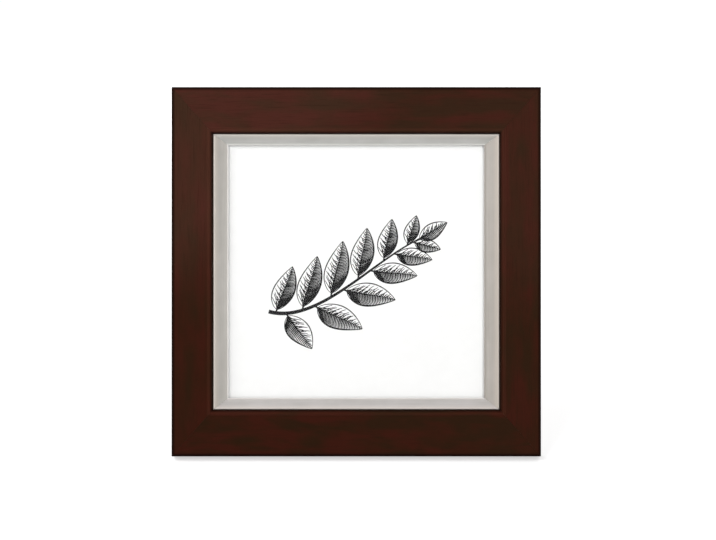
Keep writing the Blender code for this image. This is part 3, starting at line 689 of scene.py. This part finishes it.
def screw_mesh(name):
    """A pan-head screw with a cross recess and a threaded shank."""
    profile = [*dome(SCREW_HEAD_RADIUS, SCREW_HEAD_HEIGHT), (SCREW_RADIUS, 0)]
    for turn in range(THREAD_TURNS):
        top = -THREAD_START - turn * THREAD_PITCH
        profile += [
            (THREAD_ROOT, top - THREAD_PITCH * 0.1),
            (THREAD_ROOT, top - THREAD_PITCH * 0.6),
            (SCREW_RADIUS, top - THREAD_PITCH * 0.8),
            (SCREW_RADIUS, top - THREAD_PITCH * 0.9),
        ]
    profile.append((0, -SCREW_LENGTH))
    head = bpy.data.objects.new(name, turned(name, profile))
    cutter = cross_cutter()
    cutter.location.z = SCREW_HEAD_HEIGHT
    bpy.context.scene.collection.objects.link(cutter)
    press = head.modifiers.new("cross", "BOOLEAN")
    press.operation = "DIFFERENCE"
    press.object = cutter
    press.use_self = True
    mesh = smoothed(applied(head))
    bpy.data.objects.remove(cutter)
    return mesh


def rivet_mesh(name, stack):
    """A tubular rivet, its head dimpled at the middle and its tail rolled over."""
    tail = -stack + RIVET_TAIL_RECESS + RIVET_TAIL_HEIGHT
    head = dome(RIVET_HEAD_RADIUS, RIVET_HEAD_HEIGHT)
    profile = [
        (0, RIVET_HEAD_HEIGHT * 0.62),
        (RIVET_HEAD_RADIUS * 0.22, RIVET_HEAD_HEIGHT * 0.66),
        (RIVET_HEAD_RADIUS * 0.3, RIVET_HEAD_HEIGHT * 0.93),
        *head[2:],
        (RIVET_RADIUS, 0),
        (RIVET_RADIUS, tail),
        (RIVET_TAIL_RADIUS, tail),
        (RIVET_TAIL_RADIUS, tail - RIVET_TAIL_HEIGHT * 0.6),
        (RIVET_TAIL_RADIUS * 0.85, tail - RIVET_TAIL_HEIGHT),
        (RIVET_TAIL_RADIUS * 0.5, tail - RIVET_TAIL_HEIGHT),
        (RIVET_TAIL_RADIUS * 0.4, tail - RIVET_TAIL_HEIGHT * 0.3),
        (0, tail - RIVET_TAIL_HEIGHT * 0.2),
    ]
    return turned(name, profile)


def pin_mesh():
    """The hinge pin, with a peened head at both ends."""
    end = PIN_REACH + PIN_HEAD_LENGTH
    half = [
        (0, end),
        (PIN_HEAD_RADIUS * 0.6, end - PIN_HEAD_LENGTH * 0.04),
        (PIN_HEAD_RADIUS * 0.85, end - PIN_HEAD_LENGTH * 0.2),
        (PIN_HEAD_RADIUS, end - PIN_HEAD_LENGTH * 0.55),
        (PIN_HEAD_RADIUS, PIN_REACH),
        (PIN_RADIUS, PIN_REACH),
    ]
    return turned("pin", half + [(radius, -height) for radius, height in reversed(half)])


def button_mesh(name):
    """A teardrop with a hole for its screw, its tip along X."""
    lean = math.degrees(math.acos((BUTTON_PIVOT_RADIUS - BUTTON_TIP_RADIUS) / BUTTON_REACH))
    outline = [
        *arc((0, 0), BUTTON_PIVOT_RADIUS, lean, 360 - lean, 40),
        *arc((BUTTON_REACH, 0), BUTTON_TIP_RADIUS, -lean, lean, 30),
    ]
    hole = arc((0, 0), SCREW_RADIUS + FIT, 0, 351, 39)
    return plate(name, [outline, hole], BUTTON_THICKNESS, BUTTON_EDGE, FLAT_TO_FACE)


def ring_path():
    """The hanging ring: a D whose straight side is in the strap, on height 0."""
    half = [
        *arc((RING_RADIUS - RING_CORNER, -RING_CORNER), RING_CORNER, 90, 0, 10),
        *arc((0, -RING_LEG), RING_RADIUS, 0, -87, 22),
    ]
    return half + [(0, -RING_LEG - RING_RADIUS)] + [(-x, z) for x, z in reversed(half)]


def make_button(node, place, finish):
    mesh = button_mesh(node)
    add_piece(f"{node}_plate", mesh, finish, node, node, place)


def make_screw(node, place, finish):
    mesh = screw_mesh(node)
    add_piece(f"{node}_cross_head", mesh, finish, "frame", node, place)


def make_buttons(zinc_finish, steel_finish):
    """The four turn buttons, and their screws, driven home to unlike angles."""
    middle = RAIL_DEPTH + FIT + BUTTON_THICKNESS / 2
    under_head = RAIL_DEPTH + BUTTON_THICKNESS + 2 * FIT
    for side, sign in (("left", -1), ("right", 1)):
        inward = Matrix.Rotation(0 if side == "left" else math.pi, 4, "Y")
        x = sign * (OUTER / 2 - BUTTON_INSET)
        for level, offset in (("upper", 0.5), ("lower", -0.5)):
            z = OUTER / 2 + offset * BUTTON_SPACING
            place = FACE_SPACE @ Matrix.Translation((x, middle, z)) @ inward
            make_button(f"{level}_{side}_turn_button", place, zinc_finish)
            head = FACE_SPACE @ Matrix.Translation((x, under_head, z)) @ FACING_BACK
            turn = Matrix.Rotation(math.radians(23 + 31 * sign + 40 * offset), 4, "Z")
            make_screw(f"{level}_{side}_screw", head @ turn, steel_finish)


def make_rivets(steel_finish):
    """The rivets of the hanger and hinge, each as long as what it holds together."""
    board_stack = LEAF_THICKNESS + 2 * FIT + BOARD_THICKNESS
    strut_stack = LEAF_THICKNESS + 2 * FIT + STRUT_THICKNESS
    strap_stack = 2 * STRAP_THICKNESS + 3 * FIT + BOARD_THICKNESS
    on_board = BOARD_BACK + LEAF_THICKNESS + 2 * FIT
    on_strap = BOARD_BACK + 2 * STRAP_THICKNESS + 3 * FIT
    hanger = (0, on_strap, HANGER_HEIGHT - HANGER_RIVET_BELOW)
    places = {"hanger_rivet": (FACE_SPACE, hanger, strap_stack, "frame")}
    for side, x in (("left", -RIVET_SPACING / 2), ("right", RIVET_SPACING / 2)):
        above = (x, on_board, HINGE_HEIGHT + RIVET_HEIGHT)
        below = (x, KNUCKLE_RADIUS + FIT, -RIVET_HEIGHT)
        places[f"{side}_board_rivet"] = (FACE_SPACE, above, board_stack, "frame")
        places[f"{side}_strut_rivet"] = (STRUT_SPACE, below, strut_stack, "strut")
    for node, (space, at, stack, body) in places.items():
        place = space @ Matrix.Translation(at) @ FACING_BACK
        mesh = rivet_mesh(node, stack)
        add_piece(f"{node}_head", mesh, steel_finish, body, node, place)


def make_pin_and_ring(steel_finish):
    place = HINGE_SPACE @ FACING_RIGHT
    mesh = pin_mesh()
    add_piece("peened_hinge_pin", mesh, steel_finish, "frame", "hinge_pin", place)
    upright = FACE_SPACE @ Matrix.Translation((0, HANGER_DEPTH, HANGER_HEIGHT))
    place = upright @ Matrix.Rotation(LEAN, 4, "X")
    mesh = wire("ring", ring_path(), RING_WIRE)
    node = "hanging_ring"
    add_piece("wire_ring", mesh, steel_finish, node, node, place)


def glue_outline():
    """The glue of one mitre, along the joint and into its depth."""
    run = math.hypot(SIDE_FACE, END_FACE)
    start, end = GLUE_OUTER_MARGIN, run - GLUE_INNER_MARGIN
    rebate = run * (1 - SIDE_REBATE / SIDE_FACE) - GLUE_MARGIN
    lip_back = LIP_THICKNESS - GLUE_MARGIN
    return [
        (start, GLUE_FRONT),
        (rebate, GLUE_FRONT - GLUE_MARGIN),
        (end, GLUE_FRONT_AT_LIP),
        (end, lip_back),
        (rebate, lip_back),
        (rebate, GLUE_BACK),
        (start, GLUE_BACK),
    ]


def make_mitre_glue(finish):
    """The glue in the mitres, a little below the face and in front of the nails."""
    outline = glue_outline()
    for level, z, up in (("bottom", 0, 1), ("top", OUTER, -1)):
        for side, sign in (("left", -1), ("right", 1)):
            heading = math.atan2(END_FACE * up, -SIDE_FACE * sign)
            corner = FACE_SPACE @ Matrix.Translation((sign * OUTER / 2, 0, z))
            place = corner @ Matrix.Rotation(-heading, 4, "Y")
            name = f"{level}_{side}_mitre_glue"
            mesh = plate(name, [outline], MITRE_GAP, GLUE_EDGE, Matrix.Identity(4))
            add_piece(name, mesh, finish, "frame", None, place)


# The print: a leafy sprig in fine black lines

INK_GAP = 0.00002
SPRIG_SEED = 7
STEM_HANDLES = ((-0.066, -0.030), (-0.030, -0.040), (0.010, 0.006), (0.046, 0.024))
STEM_STEPS = 100
STEM_WIDTHS = (0.0030, 0.0010)
LEAF_STEPS = 28
RIB_WIDTHS = (0.0013, 0.0003)
LIT, SHADED = 1, -1
MARGIN_WIDTHS = {LIT: 0.00085, SHADED: 0.00125}
MARGIN_TIP = 0.0004
VEIN_STEPS = 7
VEIN_SPACING = 0.00125
VEIN_WIDTHS = {LIT: 0.00082, SHADED: 0.00112}
LEAVES = (
    # where on the stem, side, length, width, angle from the stem in degrees, bend
    (0.05, 1, 0.0370, 0.0158, 84, -0.20),
    (0.12, -1, 0.0330, 0.0165, 62, 0.18),
    (0.23, 1, 0.0420, 0.0165, 64, -0.20),
    (0.31, -1, 0.0400, 0.0180, 55, 0.20),
    (0.42, 1, 0.0430, 0.0172, 53, -0.18),
    (0.50, -1, 0.0400, 0.0175, 50, 0.20),
    (0.60, 1, 0.0390, 0.0165, 50, -0.18),
    (0.68, -1, 0.0355, 0.0155, 48, 0.20),
    (0.77, 1, 0.0320, 0.0140, 48, -0.16),
    (0.84, -1, 0.0290, 0.0130, 48, 0.18),
    (0.93, 1, 0.0235, 0.0105, 46, -0.14),
    (0.97, -1, 0.0215, 0.0098, 48, 0.16),
)
# length, width and bend of the leaf at the stem's end
END_LEAF = (0.0260, 0.0112, 0.12)


class Ink:
    """Strokes of ink on the sheet, in X and Z about the middle of the opening."""

    def __init__(self):
        self.points = []
        self.faces = []

    def stroke(self, path, widths):
        """A ribbon along a path, as wide at each point as widths says."""
        start = len(self.points)
        for i, (point, width) in enumerate(zip(path, widths)):
            heading = path[min(i + 1, len(path) - 1)] - path[max(i - 1, 0)]
            side = Vector((-heading.y, heading.x)).normalized() * width / 2
            self.points += [point + side, point - side]
        for i in range(len(path) - 1):
            a = start + 2 * i
            self.faces.append((a, a + 2, a + 3, a + 1))

    def mesh(self, name):
        mesh = bpy.data.meshes.new(name)
        mesh.from_pydata([(x, 0, z) for x, z in self.points], [], self.faces)
        return mesh


def curve_points(start, handle_a, handle_b, end, steps):
    """Points on a Bezier curve."""
    points = []
    for i in range(steps + 1):
        t = i / steps
        s = 1 - t
        first = start * s**3 + handle_a * 3 * s * s * t
        points.append(first + handle_b * 3 * s * t * t + end * t**3)
    return points


def tapered(steps, thick, thin):
    """Widths of a stroke that grows thin along itself."""
    return [thick + (thin - thick) * i / steps for i in range(steps + 1)]


def swelling(steps, thick, thin):
    """Widths of a stroke that is thick in the middle and thin at both ends."""
    return [thin + (thick - thin) * math.sin(math.pi * i / steps) for i in range(steps + 1)]


class Leaf:
    """A leaf with a midrib, two margins, and hatching that follows its veins."""

    def __init__(self, root, heading, length, width, bend):
        self.root = root
        self.forward = Vector((math.cos(heading), math.sin(heading)))
        self.left = Vector((-self.forward.y, self.forward.x))
        self.length, self.width, self.bend = length, width, bend

    def rib(self, t):
        """A point on the midrib, with a short stalk behind the blade."""
        bow = self.bend * self.length * math.sin(math.pi * t / 2) ** 2 * 0.5
        return self.root + self.forward * self.length * t + self.left * bow

    def half_width(self, t):
        blade = max(0.0, (t - 0.07) / 0.93)
        return self.width / 2 * math.sin(math.pi * blade**0.8) ** 0.85

    def at(self, t, side, reach):
        """A point on one side of the blade, reach of the way from the midrib to the margin."""
        return self.rib(t) + self.left * side * self.half_width(t) * reach

    def draw(self, ink, chance):
        shares = [i / LEAF_STEPS for i in range(LEAF_STEPS + 1)]
        ink.stroke([self.rib(t) for t in shares], tapered(LEAF_STEPS, *RIB_WIDTHS))
        for side in (LIT, SHADED):
            margin = [self.at(t, side, 1) for t in shares[2:]]
            ink.stroke(margin, swelling(LEAF_STEPS - 2, MARGIN_WIDTHS[side], MARGIN_TIP))
        count = round(self.length / VEIN_SPACING)
        for i in range(2, count):
            for side in (LIT, SHADED):
                self.draw_vein(ink, i / count, i, side, chance)

    def draw_vein(self, ink, t, number, side, chance):
        """One hatch line: long and thick on the shaded side, short and thin on the other."""
        far = min(t + 0.17 * (1 - t) + 0.01, 0.99)
        reach = 0.97
        if side == LIT:
            reach = 0.62 + 0.3 * math.sin(number * 1.9) * (1 - 0.3 * chance.random())
        thick = VEIN_WIDTHS[side] * (0.88 + 0.24 * chance.random())
        tip = self.at(far, side, reach)
        turn = self.at(t + (far - t) * 0.35, side, reach * 0.62)
        path = curve_points(self.rib(t), turn, turn, tip, VEIN_STEPS)
        ink.stroke(path, tapered(VEIN_STEPS, thick, thick * 0.5))


def make_sprig(finish):
    """A branch that bows from the lower left to the upper right."""
    chance = random.Random(SPRIG_SEED)
    ink = Ink()
    stem = curve_points(*(Vector(at) for at in STEM_HANDLES), STEM_STEPS)
    ink.stroke(stem, tapered(STEM_STEPS, *STEM_WIDTHS))
    for share, side, length, width, angle, bend in LEAVES:
        at = round(share * STEM_STEPS)
        along = stem[at] - stem[at - 1]
        heading = math.atan2(along.y, along.x) + math.radians(angle) * side
        Leaf(stem[at], heading, length, width, bend).draw(ink, chance)
    along = stem[-1] - stem[-2]
    Leaf(stem[-1], math.atan2(along.y, along.x), *END_LEAF).draw(ink, chance)
    place = FACE_SPACE @ Matrix.Translation((0, PRINT_FRONT - INK_GAP, OUTER / 2))
    mesh = ink.mesh("printed_sprig")
    add_piece("printed_sprig", mesh, finish, "frame", None, place)


# Finishes of the CAD nodes that stay


def assign(finish, *names):
    for name in names:
        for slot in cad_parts[name].material_slots:
            slot.material = finish


def dress_nodes(zinc_finish, steel_finish):
    for side in ("bottom", "top", "left", "right"):
        assign(brown_foil(side), f"{side}_rail")
        assign(silver_foil(side), f"{side}_slip")
    assign(clear_pane(), "glazing")
    assign(print_paper(), "print")
    assign(grey_board(), "filler_card")
    browns = (screen(84, 58, 38), screen(112, 80, 54), screen(138, 104, 74))
    assign(hardboard("backing_hardboard", *browns), "backing_board")
    browns = (screen(78, 54, 36), screen(104, 74, 50), screen(130, 97, 68))
    assign(hardboard("strut_hardboard", *browns), "strut")
    assign(zinc_finish, "hinge_fixed_leaf", "hinge_moving_leaf", "hanger_strap")
    assign(steel_finish, *(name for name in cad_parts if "_nail_" in name))


# Floor, light and camera


def seen(nodes, links):
    """A value of 1 for rays from the camera, a mirror or glass, and 0 for the rest."""
    path = nodes.new("ShaderNodeLightPath").outputs
    value = path["Is Camera Ray"]
    for name in ("Is Glossy Ray", "Is Transmission Ray"):
        either = nodes.new("ShaderNodeMath")
        either.operation = "MAXIMUM"
        links.new(value, either.inputs[0])
        links.new(path[name], either.inputs[1])
        value = either.outputs[0]
    return value


def floor_material():
    graph = Graph("pale_floor")
    spot = graph.place()
    tone = graph.noise(spot, 2, 0.5, 0, 6)
    colour = graph.ramp(tone, (0.35, screen(229, 229, 229)), (0.65, screen(232, 232, 232)))
    plain = graph.add("ShaderNodeBsdfDiffuse", {"Color": colour})
    away = graph.add("ShaderNodeVectorMath", {0: spot}, operation="LENGTH").outputs["Value"]
    glow = graph.spread(away, NEAR_FLOOR, FAR_FLOOR, NEAR_GLOW, FAR_GLOW)
    glow = graph.math("MULTIPLY", seen(graph.nodes, graph.links), glow)
    lit = graph.add("ShaderNodeEmission", {"Strength": glow})
    both = graph.add("ShaderNodeAddShader", {0: plain.outputs[0], 1: lit.outputs[0]})
    graph.put(graph.output.inputs["Surface"], both.outputs[0])
    return graph.material


def make_floor():
    mesh = bpy.data.meshes.new("floor")
    disc = bmesh.new()
    bmesh.ops.create_circle(disc, cap_ends=True, segments=96, radius=FLOOR_RADIUS)
    disc.to_mesh(mesh)
    disc.free()
    mesh.materials.append(floor_material())
    floor = bpy.data.objects.new("floor", mesh)
    bpy.context.scene.collection.objects.link(floor)


def make_world():
    """A white sky, at full level where it is seen and at a lower one where it lights."""
    world = bpy.data.worlds.new("studio")
    world.use_nodes = True
    nodes, links = world.node_tree.nodes, world.node_tree.links
    background = nodes["Background"]
    background.inputs["Color"].default_value = (1, 1, 1, 1)
    level = nodes.new("ShaderNodeMapRange")
    level.inputs["To Min"].default_value = SKY_LEVEL
    level.inputs["To Max"].default_value = 1.0
    links.new(seen(nodes, links), level.inputs["Value"])
    links.new(level.outputs["Result"], background.inputs["Strength"])
    bpy.context.scene.world = world


def add_lamp(name, direction, distance, size, power):
    """A soft square lamp that faces the middle of the frame, from a direction in face space."""
    middle = FACE_SPACE @ Vector((0, 0, OUTER / 2))
    outward = (FACE_SPACE.to_3x3() @ Vector(direction)).normalized()
    light = bpy.data.lights.new(name, "AREA")
    light.size = size
    light.energy = power
    lamp = bpy.data.objects.new(name, light)
    bpy.context.scene.collection.objects.link(lamp)
    lamp.location = middle + outward * distance
    lamp.rotation_mode = "QUATERNION"
    lamp.rotation_quaternion = outward.to_track_quat("Z", "Y")


def make_camera():
    """Square to the face, framed as in the photograph."""
    data = bpy.data.cameras.new("camera")
    data.lens = FOCAL_LENGTH
    data.sensor_width = SENSOR_WIDTH
    camera = bpy.data.objects.new("camera", data)
    bpy.context.scene.collection.objects.link(camera)
    aim = Matrix.Translation((AIM_RIGHT, -CAMERA_DISTANCE, OUTER / 2 + AIM_UP))
    camera.matrix_world = FACE_SPACE @ aim @ Matrix.Rotation(math.pi / 2, 4, "X")
    bpy.context.scene.camera = camera


# Build

zinc = zinc_sheet()
steel = drawn_steel()
dress_nodes(zinc, steel)
make_buttons(zinc, steel)
make_rivets(steel)
make_pin_and_ring(steel)
make_mitre_glue(joint_glue())
make_sprig(print_ink())
make_floor()
make_world()
for lamp_values in LAMPS:
    add_lamp(*lamp_values)
make_camera()
bpy.context.scene.view_settings.view_transform = "Standard"
